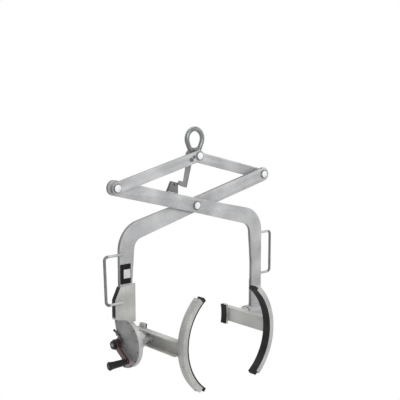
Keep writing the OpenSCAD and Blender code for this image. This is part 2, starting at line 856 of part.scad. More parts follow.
module case_bushes() color(bronze)
    near_mirror() {
        shaft_bush(boss_end_x, floor_x - boss_end_x);
        difference() {
            x_bar(0, z_axis, journal_bush_d, cover_x - cover_boss_t, cover_x - fix_gap);
            x_bar(0, z_axis, journal_d + 2 * run_gap, cover_x - cover_boss_t - eps, cover_x);
        }
        for (x = [[case_back_x - crank_bush_out, floor_x], [cover_x, boss_face_x]])
            difference() {
                x_bar(crank_y, crank_z, crank_bush_d, x[0], x[1]);
                x_bar(crank_y, crank_z, crank_shaft_d + 2 * run_gap, x[0] - eps, x[1] + eps);
            }
    }

// Drive shaft of the near cradle, with a thrust collar and a keyway
module near_trunnion() color(bright)
    near_mirror() difference() {
        union() {
            x_bar(0, z_axis, shaft_d, beam_x0 + beam_wall, gear_x + gear_w);
            x_bar(0, z_axis, journal_d, gear_x + gear_w, cover_x - end_play);
            x_bar(0, z_axis, collar_d, boss_end_x - end_play - collar_t, boss_end_x - end_play);
        }
        key_shape(fix_gap);
    }

module key_shape(grow) {
    translate([gear_x - grow, -key_w / 2 - grow, z_axis + shaft_d / 2 - key_sunk - grow])
        cube([gear_w + 2 * grow, key_w + 2 * grow, key_h + 2 * grow]);
}

module gear_key() color(bright) near_mirror() key_shape(0);

module drive_gear() color(steel_grey)
    near_mirror() difference() {
        x_plate(gear_x, gear_w) towards_crank() difference() {
            gear_outline(gear_m, gear_teeth);
            circle(d = shaft_d + 2 * fix_gap);
            for (i = [0 : gear_hole_count - 1]) rotate((i + 0.5) * 360 / gear_hole_count)
                translate([gear_hole_r, 0]) circle(d = gear_hole_d);
        }
        key_shape(fix_gap);
    }

module pinion() color(steel_grey)
    near_mirror() x_plate(pinion_x, pinion_w) towards_crank() translate([gear_a, 0]) difference() {
        rotate(180 + 180 / pinion_teeth) gear_outline(gear_m, pinion_teeth);
        circle(d = crank_shaft_d + 2 * fix_gap);
    }

module crank_shaft() color(bright)
    near_mirror() x_bar(crank_y, crank_z, crank_shaft_d, case_back_x - crank_tail, shaft_end_x);

module ratchet_wheel() color(dark_grey)
    near_mirror() x_plate(ratchet_x, ratchet_t) translate([crank_y, crank_z]) difference() {
        rotate(ratchet_phase) ratchet_outline();
        circle(d = crank_shaft_d + 2 * fix_gap);
    }

module crank_hub() color(black)
    near_mirror() difference() {
        x_bar(crank_y, crank_z, crank_hub_d, hub_x, hub_end_x);
        x_bar(crank_y, crank_z, crank_shaft_d + 2 * fix_gap, hub_x - eps, hub_end_x + eps);
    }

// Flat crank arm, an eye round the hub at one end and the grip pin at the other
module crank_arm() color(brown)
    near_mirror() x_plate(arm_x, crank_arm_t) translate([crank_y, crank_z])
        rotate(180 + crank_rest) difference() {
            union() {
                circle(d = crank_hub_d + 2 * crank_eye_wall);
                translate([0, -crank_arm_w / 2]) square([crank_len, crank_arm_w]);
                translate([crank_len, 0]) circle(d = crank_arm_w);
            }
            circle(d = crank_hub_d + 2 * fix_gap);
            translate([crank_len, 0]) circle(d = grip_pin_d + 2 * fix_gap);
        }

module grip_pin() color(bright)
    near_mirror() {
        x_bar(grip_y, grip_z, grip_pin_d, arm_x - grip_head_t, grip_end_x + 2 * end_play);
        x_bar(grip_y, grip_z, grip_head_d, arm_x - grip_head_t, arm_x - fix_gap);
        x_bar(grip_y, grip_z, grip_end_d, grip_end_x + end_play, grip_end_x + end_play + grip_head_t);
        x_bar(grip_y, grip_z, grip_head_d, arm_x + crank_arm_t + fix_gap, grip_x - touch_gap);
    }

// Radius of the grip along its length, a waist that flares to the outer end
function grip_r(u) = grip_d / 2 + grip_swell * sin(180 * u) + (grip_flare_d - grip_d) / 2 * pow(u, 5);

// Moulded hand grip, free to spin on its pin
module crank_grip() color(black)
    near_mirror() translate([grip_x, grip_y, grip_z]) rotate([0, 90, 0]) rotate_extrude() {
        bore = grip_pin_d / 2 + run_gap;
        polygon(concat([[bore, 0], [grip_d / 2 - grip_neck, 0]],
            [for (i = [1 : 11]) [grip_r(i / 12), grip_len * i / 12]],
            [[grip_flare_d / 2, grip_len - grip_round], [grip_flare_d / 2 - grip_round, grip_len],
                [bore, grip_len]]));
    }

// Places things at the pawl pin, the drawing's +X axis towards the nose or the lever
module at_pawl(dir) {
    translate([pawl_y, pawl_z]) rotate(dir) children();
}

module at_pawl_stop(grow) {
    at_pawl(pawl_lever_dir) translate([pawl_stop_at, -pawl_lever_w / 2 - pawl_stop_d / 2 - touch_gap])
        circle(d = pawl_stop_d + grow);
}

module lock_pawl() color(dark_grey)
    near_mirror() x_plate(ratchet_x, ratchet_t) difference() {
        union() {
            at_pawl(0) circle(r = pawl_boss_r);
            at_pawl(pawl_dir + 180 - pawl_lift) polygon([[0, -pawl_boss_r + touch_gap],
                [pawl_nose_len - pawl_nose_w, -pawl_nose_w], [pawl_nose_len, -pawl_nose_w / 2],
                [pawl_nose_len, pawl_nose_w / 2], [pawl_nose_len - pawl_nose_w, 0],
                [0, pawl_boss_r - touch_gap]]);
            at_pawl(pawl_lever_dir) translate([0, -pawl_lever_w / 2])
                square([pawl_lever_end, pawl_lever_w]);
        }
        at_pawl(0) circle(d = pawl_pin_d + 2 * run_gap);
    }

module pawl_pin() color(bright)
    near_mirror() {
        x_bar(pawl_y, pawl_z, pawl_pin_d, cover_x, hub_x + end_play);
        x_bar(pawl_y, pawl_z, pawl_head_d, hub_x + touch_gap, hub_x + pawl_head_t);
    }

module pawl_stop() color(bright)
    near_mirror() x_plate(cover_x, hub_x - cover_x) at_pawl_stop(0);

// Ball knob pushed on the end of the lever
module pawl_knob() color(black)
    near_mirror() difference() {
        translate([ratchet_x + ratchet_t / 2, pawl_y + pawl_lever_len * cos(pawl_lever_dir),
            pawl_z + pawl_lever_len * sin(pawl_lever_dir)]) sphere(d = knob_d);
        x_plate(ratchet_x - fix_gap, ratchet_t + 2 * fix_gap) at_pawl(pawl_lever_dir)
            translate([0, -pawl_lever_w / 2 - fix_gap])
                square([pawl_lever_end + fix_gap, pawl_lever_w + 2 * fix_gap]);
    }

// Outward facing channel from the arc to the saddle
module beam() {
    y_plate(beam_y0, beam_y1 - beam_y0) translate([beam_x0, z_axis - beam_h / 2]) difference() {
        square([beam_d, beam_h]);
        translate([beam_wall, beam_wall]) square([beam_d, beam_h - 2 * beam_wall]);
    }
}

module at_pad_screws() {
    for (a = pad_screw_angles)
        translate([0, arc_y + arc_w / 2, z_axis]) rotate([0, -a, 0]) rotate([0, 90, 0]) children();
}

module arc_bar() {
    difference() {
        rolled(arc_r, arc_t, arc_half, arc_y, arc_w);
        at_pad_screws() cylinder(d = pad_screw_d + 2 * fix_gap, h = arc_out_r + eps);
    }
}

// Rubber lining with a lip over each end of the arc
module arc_pad() {
    rolled(drum_r, pad_t - fix_gap, arc_half + 2 * lip_half, arc_y, arc_w);
    for (side = [-1, 1])
        rolled(drum_r + pad_t / 2, pad_t / 2 + lip_h, lip_half - lip_seam, arc_y, arc_w,
            side * (arc_half + lip_half));
}

module pad_screws() {
    at_pad_screws() {
        translate([0, 0, arc_r]) cylinder(d = pad_screw_d, h = arc_t);
        translate([0, 0, arc_out_r + fix_gap]) cylinder(d = pad_screw_head_d, h = pad_screw_head_t, $fn = 6);
        translate([0, 0, arc_out_r - eps]) cylinder(d = pad_screw_d, h = 2 * eps);
    }
}

// Short saddle that fits round the back of the beam
module saddle() {
    difference() {
        rolled(arc_r, 2 * saddle_t, saddle_half, saddle_y, saddle_w);
        translate([beam_x0, saddle_y - eps, z_axis - beam_h / 2])
            cube([beam_d, saddle_w + 2 * eps, beam_h]);
    }
}

module saddle_pad() {
    rolled(drum_r, pad_t - fix_gap, saddle_half, saddle_y, saddle_w);
}

module near_beam() color(steel_grey) near_mirror() beam();
module near_arc() color(steel_grey) near_mirror() arc_bar();
module near_arc_pad() color(rubber) near_mirror() arc_pad();
module near_saddle() color(steel_grey) near_mirror() saddle();
module near_saddle_pad() color(rubber) near_mirror() saddle_pad();
module near_pad_screws() color(dark_grey) near_mirror() pad_screws();
module far_beam() color(steel_grey) beam();
module far_arc() color(steel_grey) arc_bar();
module far_arc_pad() color(rubber) arc_pad();
module far_saddle() color(steel_grey) saddle();
module far_saddle_pad() color(rubber) saddle_pad();
module far_pad_screws() color(dark_grey) pad_screws();

// Free turning shaft of the far cradle
module far_trunnion() color(bright)
    difference() {
        union() {
            x_bar(0, z_axis, shaft_d, beam_x0 + beam_wall, tube_x1 + end_play);
            x_bar(0, z_axis, collar_d, tube_x0 - end_play - collar_t, tube_x0 - end_play);
        }
        x_bar(0, z_axis, end_bolt_d + 2 * fix_gap, tube_x1 - end_bolt_len - end_bolt_tip, tube_x1 + eps);
    }

module far_end_plate() color(steel_grey)
    difference() {
        x_bar(0, z_axis, end_plate_d, tube_x1 + end_play, tube_x1 + end_play + end_plate_t);
        x_bar(0, z_axis, end_bolt_d + 2 * fix_gap, tube_x1, tube_x1 + 2 * end_plate_t);
    }

module far_end_bolt() color(dark_grey) {
    x_bar(0, z_axis, end_bolt_d, tube_x1 - end_bolt_len, tube_x1 + end_play + end_plate_t);
    x_plate(tube_x1 + end_play + end_plate_t, end_bolt_head_t) translate([0, z_axis])
        circle(d = end_bolt_head_d, $fn = 6);
}

lifting_eye();
top_pin();
left_link();
latch_bolt();
latch_stop();
latch_hook();
right_link();
right_arm();
left_pivot_pin();
left_pivot_spacer();
centre_pin();
centre_washer();
catch_lug();
right_handle();
right_foot_plate();
far_bearing_tube();
far_bushes();
left_arm();
right_pivot_pin();
right_pivot_spacer();
left_handle();
left_foot_plate();
gear_case();
gear_cover();
cover_screws();
case_bushes();
pawl_pin();
pawl_stop();
near_trunnion();
drive_gear();
gear_key();
near_beam();
near_arc();
near_arc_pad();
near_saddle();
near_saddle_pad();
near_pad_screws();
crank_shaft();
pinion();
ratchet_wheel();
crank_hub();
crank_arm();
grip_pin();
crank_grip();
lock_pawl();
pawl_knob();
far_trunnion();
far_beam();
far_arc();
far_arc_pad();
far_saddle();
far_saddle_pad();
far_pad_screws();
far_end_plate();
far_end_bolt();
pin_rings_left_arm();
pin_rings_right_arm();
pin_rings_eye();
eye_spacers();
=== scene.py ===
"""Looks of the drum lifter: silver scissor tongs with a geared hand crank.

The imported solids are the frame. Plates, pins and castings get broken edges, welds and finishes
here, and every piece rides on the body that carries it.
"""

import json
import logging
import math
from dataclasses import dataclass
from enum import Enum
from typing import Callable, ClassVar, Iterable, Optional, Sequence

import bmesh
import bpy
from mathutils import Matrix, Vector


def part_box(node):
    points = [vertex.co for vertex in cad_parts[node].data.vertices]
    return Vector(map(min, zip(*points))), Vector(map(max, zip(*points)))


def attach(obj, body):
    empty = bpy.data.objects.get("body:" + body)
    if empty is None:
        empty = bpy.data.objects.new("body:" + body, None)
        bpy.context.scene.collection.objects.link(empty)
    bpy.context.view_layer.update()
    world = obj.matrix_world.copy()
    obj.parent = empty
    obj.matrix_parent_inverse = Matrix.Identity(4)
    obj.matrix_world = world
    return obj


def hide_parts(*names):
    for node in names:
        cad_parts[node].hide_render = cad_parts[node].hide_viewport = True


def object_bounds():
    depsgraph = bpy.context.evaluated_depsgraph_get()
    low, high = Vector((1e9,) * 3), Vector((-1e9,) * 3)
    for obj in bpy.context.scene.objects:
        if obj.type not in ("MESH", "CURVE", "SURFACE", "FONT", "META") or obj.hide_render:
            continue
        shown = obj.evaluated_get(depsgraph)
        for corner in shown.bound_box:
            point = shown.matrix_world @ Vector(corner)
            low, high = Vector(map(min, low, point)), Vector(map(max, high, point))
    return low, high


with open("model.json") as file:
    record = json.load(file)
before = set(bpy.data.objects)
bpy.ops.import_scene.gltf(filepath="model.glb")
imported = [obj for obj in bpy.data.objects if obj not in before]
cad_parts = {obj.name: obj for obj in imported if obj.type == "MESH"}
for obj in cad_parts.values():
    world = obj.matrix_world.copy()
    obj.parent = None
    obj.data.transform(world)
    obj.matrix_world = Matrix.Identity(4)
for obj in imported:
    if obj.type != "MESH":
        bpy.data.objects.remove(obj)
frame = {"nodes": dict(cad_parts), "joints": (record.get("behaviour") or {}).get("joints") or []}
CAD_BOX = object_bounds()
LOG = logging.getLogger("drum_lifter")

Colour = tuple[float, float, float]
Point = tuple[float, float, float]

# One millimetre in metres.
MM = 0.001
# Angle of the links and of the upper arms to the level, in degrees.
RISE_DEG = 14.1
# Length of a brush mark over its width.
GRAIN_STRETCH = 20.0
# Share of a direction beyond which a face counts as turned that way.
FACING = 0.5
# Distance under which two points are one, in metres.
SAME_POINT = 2e-6
# Lean under which neighbouring faces are one flat face, in degrees.
FLAT_DEG = 0.4
# Corners over these angles are real: on a solid, on a copy with broken edges and on a weld bead.
CORNER_DEG = 32.0
EDGED_CORNER_DEG = 40.0
BEAD_CORNER_DEG = 60.0
# Rows of faces across a broken edge, and the fullness of its round.
EDGE_ROWS = 2
EDGE_FULLNESS = 0.6
WHITE = (1, 1, 1, 1)


class Body(Enum):
    """Moving bodies of the tongs."""

    EYE = "eye"
    LEFT_LINK = "left_link"
    RIGHT_LINK = "right_link"
    LEFT_ARM = "left_arm"
    RIGHT_ARM = "right_arm"
    LATCH = "latch"
    NEAR_CRADLE = "near_cradle"
    FAR_CRADLE = "far_cradle"
    CRANK = "crank"
    GRIP = "grip"
    PAWL = "pawl"


class Slot(Enum):
    """Material slots of the record."""

    PLATE = "plate_steel"
    BRIGHT = "bright_steel"
    DARK = "dark_steel"
    CASE = "case_iron"
    BRONZE = "bronze"
    RUBBER = "pad_rubber"
    PLASTIC = "black_plastic"
    CRANK = "crank_paint"


class Grain(Enum):
    """Way that a surface was worked: stretch along X, Y and Z, and a lean in degrees."""

    ALONG_X = (GRAIN_STRETCH, 1.0, 1.0, 0.0)
    ALONG_Y = (1.0, GRAIN_STRETCH, 1.0, 0.0)
    ALONG_Z = (1.0, 1.0, GRAIN_STRETCH, 0.0)
    RISING = (GRAIN_STRETCH, 1.0, 1.0, -RISE_DEG)
    FALLING = (GRAIN_STRETCH, 1.0, 1.0, RISE_DEG)
    EVEN = (1.0, 1.0, 1.0, 0.0)


class FaceRule(Enum):
    """Faces of a piece that a second finish covers."""

    RIM_ROUND_Y = "cut edge of a plate that faces the front"
    RIM_ROUND_X = "cut edge of a plate that faces the side"
    FLANGE_SIDE = "outer side of the left foot plate's flange, above its lip"
    LEFT_AND_TOP = "faces turned to the crank side or upwards"
    ROD_LEGS = "legs of a handle, inside its upright"

    def covers(self, normal: Vector, centre: Vector) -> bool:
        """Says whether a face belongs to the rule.

        Args:
            normal: The face's direction.
            centre: The face's middle.

        Returns:
            True where the second finish goes.
        """
        if self is FaceRule.RIM_ROUND_Y:
            return abs(normal.y) < FACING
        if self is FaceRule.RIM_ROUND_X:
            return abs(normal.x) < FACING
        if self is FaceRule.FLANGE_SIDE:
            on_flange = centre.x < FLANGE_INNER_X and centre.z > FOOT_LEVEL
            return normal.x < -FACING and on_flange
        if self is FaceRule.ROD_LEGS:
            return abs(centre.x) < HANDLE_UPRIGHT_X
        return normal.x < -FACING or normal.z > FACING


class Side(Enum):
    """The crank side of the tongs and the free side opposite."""

    NEAR = -1
    FAR = 1


def joint_place(name: str) -> Vector:
    """Gives the place of a joint of the frame.

    Args:
        name: The joint's name in the record.

    Returns:
        A point on the joint's axis, in metres.
    """
    return Vector(next(j["pos_m"] for j in frame["joints"] if j["name"] == name))


# Lower edge of the left foot plate's solid.
FOOT_LEVEL = joint_place("near_cradle_turn").z + 148 * MM
# Faces of the left foot plate beyond this are on its flange.
FLANGE_INNER_X = -490 * MM
# Faces of a handle beyond this are on its upright.
HANDLE_UPRIGHT_X = 575 * MM


class NodeSheet:
    """A material's node tree with short calls for the nodes that the finishes share."""

    BEVEL_SAMPLES: ClassVar[int] = 4
    EDGE_COSINES: ClassVar[tuple[float, float]] = (0.80, 0.99)

    def __init__(self, name: str) -> None:
        """Starts an empty tree with a shader and an output.

        Args:
            name: Name of the material.
        """
        self.material = bpy.data.materials.new(name)
        self.material.use_nodes = True
        self.tree = self.material.node_tree
        self.tree.nodes.clear()
        output = self.tree.nodes.new("ShaderNodeOutputMaterial")
        self.shader = self.tree.nodes.new("ShaderNodeBsdfPrincipled")
        self.tree.links.new(self.shader.outputs["BSDF"], output.inputs["Surface"])
        self.coords = self.tree.nodes.new("ShaderNodeTexCoord")

    def feed(self, socket: bpy.types.NodeSocket, value: object) -> None:
        """Links a socket to another one, or sets it to a constant.

        Args:
            socket: The input to fill.
            value: An output socket, a number or a tuple.
        """
        if isinstance(value, bpy.types.NodeSocket):
            self.tree.links.new(value, socket)
        else:
            socket.default_value = value

    def surface(self, **values: object) -> None:
        """Fills inputs of the shader, named with underscores for spaces."""
        for key, value in values.items():
            name = key.replace("_", " ").title().replace("Ior", "IOR")
            self.feed(self.shader.inputs[name], value)

    def noise(self, scale: float, detail: float,
              grain: Grain = Grain.EVEN) -> bpy.types.NodeSocket:
        """Adds cloudy or streaky variation fixed to the piece.

        Args:
            scale: Clouds per metre.
            detail: Levels of finer variation.
            grain: Way that the clouds are drawn out.

        Returns:
            A value around 0.5.
        """
        mapping = self.tree.nodes.new("ShaderNodeMapping")
        mapping.vector_type = "TEXTURE"
        mapping.inputs["Scale"].default_value = grain.value[:3]
        mapping.inputs["Rotation"].default_value = (0.0, math.radians(grain.value[3]), 0.0)
        self.feed(mapping.inputs["Vector"], self.coords.outputs["Object"])
        node = self.tree.nodes.new("ShaderNodeTexNoise")
        self.feed(node.inputs["Vector"], mapping.outputs["Vector"])
        node.inputs["Scale"].default_value = scale
        node.inputs["Detail"].default_value = detail
        return node.outputs["Fac"]

    def math(self, kind: str, a: object, b: object = 0.0) -> bpy.types.NodeSocket:
        """Adds a sum, product or other operation on two values.

        Args:
            kind: Name of the operation.
            a: First value or socket.
            b: Second value or socket.

        Returns:
            The result, kept between 0 and 1.
        """
        node = self.tree.nodes.new("ShaderNodeMath")
        node.operation = kind
        node.use_clamp = True
        self.feed(node.inputs[0], a)
        self.feed(node.inputs[1], b)
        return node.outputs[0]

    def weigh(self, first: bpy.types.NodeSocket, second: bpy.types.NodeSocket,
              share: float) -> bpy.types.NodeSocket:
        """Adds two variations by weight.

        Args:
            first: First variation.
            second: Second variation.
            share: Weight of the second one.

        Returns:
            Their weighted mean.
        """
        return self.math("ADD", self.math("MULTIPLY", first, 1 - share),
                         self.math("MULTIPLY", second, share))

    def spread(self, value: bpy.types.NodeSocket, low: float, high: float,
               start: float = 0.3, end: float = 0.7) -> bpy.types.NodeSocket:
        """Maps a variation to a range of values.

        Args:
            value: The variation.
            low: Result at start.
            high: Result at end.
            start: Variation that gives low.
            end: Variation that gives high.

        Returns:
            The mapped value.
        """
        node = self.tree.nodes.new("ShaderNodeMapRange")
        self.feed(node.inputs["Value"], value)
        limits = {"From Min": start, "From Max": end, "To Min": low, "To Max": high}
        for key, number in limits.items():
            node.inputs[key].default_value = number
        return node.outputs["Result"]

    def mix(self, amount: object, first: object, second: object) -> bpy.types.NodeSocket:
        """Mixes two colours.

        Args:
            amount: Share of the second colour.
            first: Colour at 0.
            second: Colour at 1.

        Returns:
            The mixed colour.
        """
        node = self.tree.nodes.new("ShaderNodeMix")
        node.data_type = "RGBA"
        self.feed(node.inputs["Factor"], amount)
        for key, colour in (("A", first), ("B", second)):
            socket = next(s for s in node.inputs if s.name == key and s.type == "RGBA")
            linked = isinstance(colour, bpy.types.NodeSocket)
            self.feed(socket, colour if linked else (*colour, 1.0))
        return next(s for s in node.outputs if s.type == "RGBA")

    def edges(self, radius: float) -> bpy.types.NodeSocket:
        """Finds the outer edges of the piece, where a finish wears first.

        Args:
            radius: Width of the worn band in metres.

        Returns:
            1 on an edge and 0 on a flat face.
        """
        bevel = self.tree.nodes.new("ShaderNodeBevel")
        bevel.samples = self.BEVEL_SAMPLES
        bevel.inputs["Radius"].default_value = radius
        geometry = self.tree.nodes.new("ShaderNodeNewGeometry")
        dot = self.tree.nodes.new("ShaderNodeVectorMath")
        dot.operation = "DOT_PRODUCT"
        self.feed(dot.inputs[0], bevel.outputs["Normal"])
        self.feed(dot.inputs[1], geometry.outputs["Normal"])
        return self.spread(dot.outputs["Value"], 1.0, 0.0, *self.EDGE_COSINES)

    def bump(self, height: bpy.types.NodeSocket, depth: float, strength: float) -> None:
        """Roughens the surface.

        Args:
            height: Height variation.
            depth: Depth of the relief in metres.
            strength: Share of the relief that shows.
        """
        node = self.tree.nodes.new("ShaderNodeBump")
        node.inputs["Strength"].default_value = strength
        node.inputs["Distance"].default_value = depth
        self.feed(node.inputs["Height"], height)
        self.feed(self.shader.inputs["Normal"], node.outputs["Normal"])


@dataclass(frozen=True)
class Finish:
    """A surface finish: two tones, a gloss range, worn edges and a fine relief."""

    CLOUD_DETAIL: ClassVar[float] = 6.0
    STREAK_DETAIL: ClassVar[float] = 3.0
    RELIEF_DETAIL: ClassVar[float] = 2.0
    TONE_LIMITS: ClassVar[tuple[float, float]] = (0.36, 0.64)
    WEAR_LIMITS: ClassVar[tuple[float, float]] = (0.38, 0.6)
    RELIEF_SHARE: ClassVar[float] = 0.5
    RELIEF_STRENGTH: ClassVar[float] = 0.5

    name: str
    slot: Slot
    dark: Colour
    light: Colour
    worn: Colour
    metallic: float = 0.0
    gloss: tuple[float, float] = (0.4, 0.6)
    cloud: float = 9.0
    streak: float = 160.0
    relief: float = 0.0003
    relief_scale: float = 600.0
    wear: float = 0.5
    wear_width: float = 0.002
    streak_share: float = 0.3
    specular: float = 0.5

    def material(self, grain: Grain = Grain.EVEN) -> bpy.types.Material:
        """Makes the material, or finds it where it was made before.

        Args:
            grain: Way that the surface was worked.

        Returns:
            The material.
        """
        key = f"{self.name}_{grain.name.lower()}"
        if key in bpy.data.materials:
            return bpy.data.materials[key]
        sheet = NodeSheet(key)
        clouds = sheet.noise(self.cloud, self.CLOUD_DETAIL)
        streaks = sheet.noise(self.streak, self.STREAK_DETAIL, grain)
        tone = sheet.weigh(clouds, streaks, self.streak_share)
        colour = sheet.mix(sheet.spread(tone, 0.0, 1.0, *self.TONE_LIMITS), self.dark, self.light)
        worn = sheet.math("MULTIPLY", sheet.edges(self.wear_width),
                          sheet.spread(clouds, 0.0, self.wear, *self.WEAR_LIMITS))
        sheet.surface(base_color=sheet.mix(worn, colour, self.worn), metallic=self.metallic,
                      specular_ior_level=self.specular,
                      roughness=sheet.spread(streaks, *self.gloss))
        grains = sheet.noise(self.relief_scale, self.RELIEF_DETAIL)
        sheet.bump(sheet.weigh(streaks, grains, self.RELIEF_SHARE), self.relief,
                   self.RELIEF_STRENGTH)
        return sheet.material


SILVER = Finish("silver_plate", Slot.PLATE,
                (0.36, 0.363, 0.37), (0.57, 0.575, 0.58), (0.72, 0.72, 0.72),
                metallic=0.4, gloss=(0.38, 0.52), cloud=6.0, streak=90.0, relief=0.0002,
                streak_share=0.22)
# Painted shade: a darker copy of the plate steel for the rims of the plates, where shade falls.
SHADED_RIM_STEEL = Finish("cut_edge", Slot.PLATE,
                  (0.17, 0.172, 0.175), (0.27, 0.272, 0.275), (0.52, 0.52, 0.52),
                  metallic=0.4, gloss=(0.42, 0.58), cloud=14.0, streak=240.0, relief=0.0003)
WARM_SILVER = Finish("cradle_steel", Slot.PLATE,
                     (0.36, 0.357, 0.345), (0.55, 0.545, 0.525), (0.71, 0.70, 0.68),
                     metallic=0.4, gloss=(0.38, 0.52), cloud=7.0, streak=90.0, relief=0.0002,
                     streak_share=0.22)
EYE_STEEL = Finish("forged_eye", Slot.PLATE,
                   (0.15, 0.16, 0.165), (0.30, 0.31, 0.315), (0.60, 0.60, 0.61),
                   metallic=0.6, gloss=(0.32, 0.46), cloud=22.0, streak=140.0, relief=0.0006,
                   relief_scale=240.0)
ROD = Finish("handle_rod", Slot.PLATE,
             (0.10, 0.10, 0.102), (0.22, 0.22, 0.222), (0.50, 0.50, 0.50),
             metallic=0.5, gloss=(0.34, 0.48), cloud=16.0, streak=200.0, relief=0.0002)
LATCH_STEEL = Finish("latch_steel", Slot.PLATE,
                     (0.14, 0.142, 0.145), (0.25, 0.252, 0.255), (0.55, 0.55, 0.55),
                     metallic=0.4, gloss=(0.38, 0.52), cloud=14.0, streak=160.0, relief=0.0002)
BRIGHT = Finish("turned_steel", Slot.BRIGHT,
                (0.72, 0.72, 0.73), (0.90, 0.90, 0.91), (0.95, 0.95, 0.95),
                metallic=0.8, gloss=(0.30, 0.44), cloud=30.0, streak=420.0, relief=0.0001)
OILED = Finish("oiled_steel", Slot.DARK,
               (0.07, 0.07, 0.073), (0.15, 0.15, 0.155), (0.46, 0.46, 0.46),
               metallic=0.7, gloss=(0.32, 0.5), cloud=40.0, streak=300.0, relief=0.0001,
               wear_width=0.001)
CASE_SIDE = Finish("case_side", Slot.CASE,
                   (0.40, 0.40, 0.39), (0.56, 0.56, 0.55), (0.74, 0.74, 0.73),
                   metallic=0.4, gloss=(0.36, 0.50), cloud=14.0, streak=260.0, relief=0.0005,
                   relief_scale=380.0)
CASTING = Finish("cover_grey", Slot.CASE,
                 (0.23, 0.232, 0.23), (0.34, 0.342, 0.34), (0.62, 0.62, 0.61),
                 metallic=0.3, gloss=(0.42, 0.58), cloud=12.0, streak=260.0, relief=0.0005,
                 relief_scale=380.0)
BRONZE = Finish("bearing_bronze", Slot.BRONZE,
                (0.36, 0.22, 0.09), (0.56, 0.38, 0.17), (0.75, 0.58, 0.32),
                metallic=1.0, gloss=(0.26, 0.42), cloud=40.0, streak=400.0, relief=0.0001)
RUBBER = Finish("pad_rubber", Slot.RUBBER,
                (0.012, 0.012, 0.012), (0.030, 0.030, 0.031), (0.075, 0.075, 0.075),
                gloss=(0.62, 0.80), cloud=16.0, streak=120.0, relief=0.0004, relief_scale=900.0,
                wear=0.7, specular=0.2)
PLASTIC = Finish("moulded_black", Slot.PLASTIC,
                 (0.006, 0.006, 0.007), (0.016, 0.016, 0.017), (0.05, 0.05, 0.05),
                 gloss=(0.40, 0.54), cloud=30.0, streak=200.0, relief=0.0003, relief_scale=1400.0,
                 specular=0.22)
CRANK_PAINT = Finish("crank_paint", Slot.CRANK,
                     (0.095, 0.070, 0.064), (0.185, 0.145, 0.135), (0.42, 0.36, 0.33),
                     metallic=0.1, gloss=(0.40, 0.56), cloud=26.0, streak=220.0, wear=0.8,
                     specular=0.3)
CRANK_RED = Finish("crank_red", Slot.CRANK,
                   (0.040, 0.012, 0.011), (0.080, 0.026, 0.023), (0.26, 0.17, 0.15),
                   metallic=0.1, gloss=(0.40, 0.56), cloud=26.0, streak=220.0, wear=0.6,
                   specular=0.25)
WELD = Finish("weld_bead", Slot.PLATE,
              (0.36, 0.36, 0.365), (0.58, 0.58, 0.585), (0.74, 0.74, 0.74),
              metallic=0.5, gloss=(0.36, 0.54), cloud=60.0, streak=500.0, relief=0.0003,
              relief_scale=900.0)
BLACK_FINISH = Finish("plate_black", Slot.DARK,
                 (0.006, 0.006, 0.007), (0.014, 0.014, 0.015), (0.10, 0.10, 0.10),
                 gloss=(0.40, 0.54), cloud=30.0, streak=200.0, relief=0.0001, specular=0.12)
PANEL = Finish("panel_pale", Slot.PLATE,
               (0.56, 0.55, 0.54), (0.70, 0.69, 0.68), (0.42, 0.42, 0.42),
               gloss=(0.34, 0.48), cloud=40.0, streak=260.0, relief=0.0001)


@dataclass(frozen=True)
class Trim:
    """A second finish and the faces that it covers."""

    finish: Finish
    rule: FaceRule


# Painted shade on the rims of the links, arms and latch.
SHADED_PLATE_RIM = Trim(SHADED_RIM_STEEL, FaceRule.RIM_ROUND_Y)
# The outer side of the left foot plate's flange, above its lip, is black.
BLACK_SIDE = Trim(BLACK_FINISH, FaceRule.FLANGE_SIDE)
# Painted shade: the catch lug's faces turned to the crank side or upwards get the dark steel
# finish, for the shade on that side.
SHADED_LUG_SIDES = Trim(OILED, FaceRule.LEFT_AND_TOP)
CRANK_RIM = Trim(CRANK_RED, FaceRule.RIM_ROUND_X)
# Painted light: the legs of the handles are paler than their upright, where the top light falls on
# them.
LIT_HANDLE_LEGS = Trim(SILVER, FaceRule.ROD_LEGS)
PIN_SIDE = Trim(SILVER, FaceRule.RIM_ROUND_Y)


def shade(mesh: bpy.types.Mesh, sharp_deg: float = CORNER_DEG) -> None:
    """Shades a mesh smooth and keeps its real corners.

    Args:
        mesh: The mesh to shade.
        sharp_deg: Corners over this angle stay sharp.
    """
    for polygon in mesh.polygons:
        polygon.use_smooth = True
    mesh.set_sharp_from_angle(angle=math.radians(sharp_deg))


def place(name: str, mesh: bpy.types.Mesh, body: Body, finish: Finish,
          grain: Grain = Grain.EVEN, trim: Optional[Trim] = None) -> bpy.types.Object:
    """Puts a mesh in the scene on its body with its finish.

    Args:
        name: Name of the piece.
        mesh: Its mesh, in the frame of the tongs.
        body: The body that carries it.
        finish: Its surface.
        grain: Way that the surface was worked.
        trim: A second finish on some of its faces.

    Returns:
        The piece.
    """
    piece = bpy.data.objects.new(name, mesh)
    bpy.context.scene.collection.objects.link(piece)
    mesh.materials.clear()
    mesh.materials.append(finish.material(grain))
    if trim:
        mesh.materials.append(trim.finish.material())
        for polygon in mesh.polygons:
            polygon.material_index = int(trim.rule.covers(polygon.normal, polygon.center))
    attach(piece, body.value)
    LOG.info("%s rides on %s", name, body.value)
    return piece


